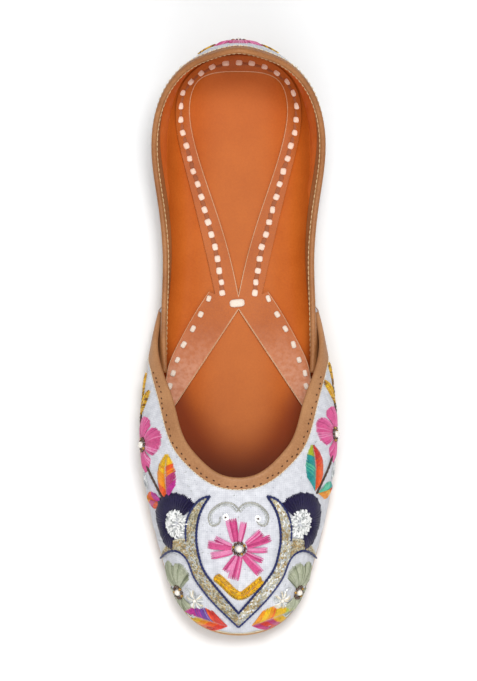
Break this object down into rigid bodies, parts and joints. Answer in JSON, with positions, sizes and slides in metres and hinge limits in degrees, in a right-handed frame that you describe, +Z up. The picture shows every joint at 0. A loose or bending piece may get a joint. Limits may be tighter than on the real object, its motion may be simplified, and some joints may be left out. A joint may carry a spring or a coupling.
{
  "type": "jutti",
  "caption": "Flat slip-on jutti: white cloth upper with a leather-bound throat and raised heel collar, tan leather sole, orange leather insole with a cross strip.",
  "frame": {"origin": "middle of the shoe's length and width, on the floor under the sole", "axes": "+Z up, +Y towards the heel, -Y towards the toe, X across the shoe"},
  "size_m": [0.0824, 0.254, 0.0636],
  "materials": {
    "outsole_leather": "matte",
    "heel_rubber": "matte",
    "insole_leather": "satin",
    "strip_leather": "satin",
    "upper_cloth": "matte",
    "binding_leather": "satin"
  },
  "bodies": {
    "root": {"outsole": "outsole_leather", "heel_piece": "heel_rubber", "insole": "insole_leather", "insole_cross_strip": "strip_leather", "upper": "upper_cloth", "vamp_binding": "binding_leather", "collar_binding": "binding_leather"}
  },
  "joints": []
}
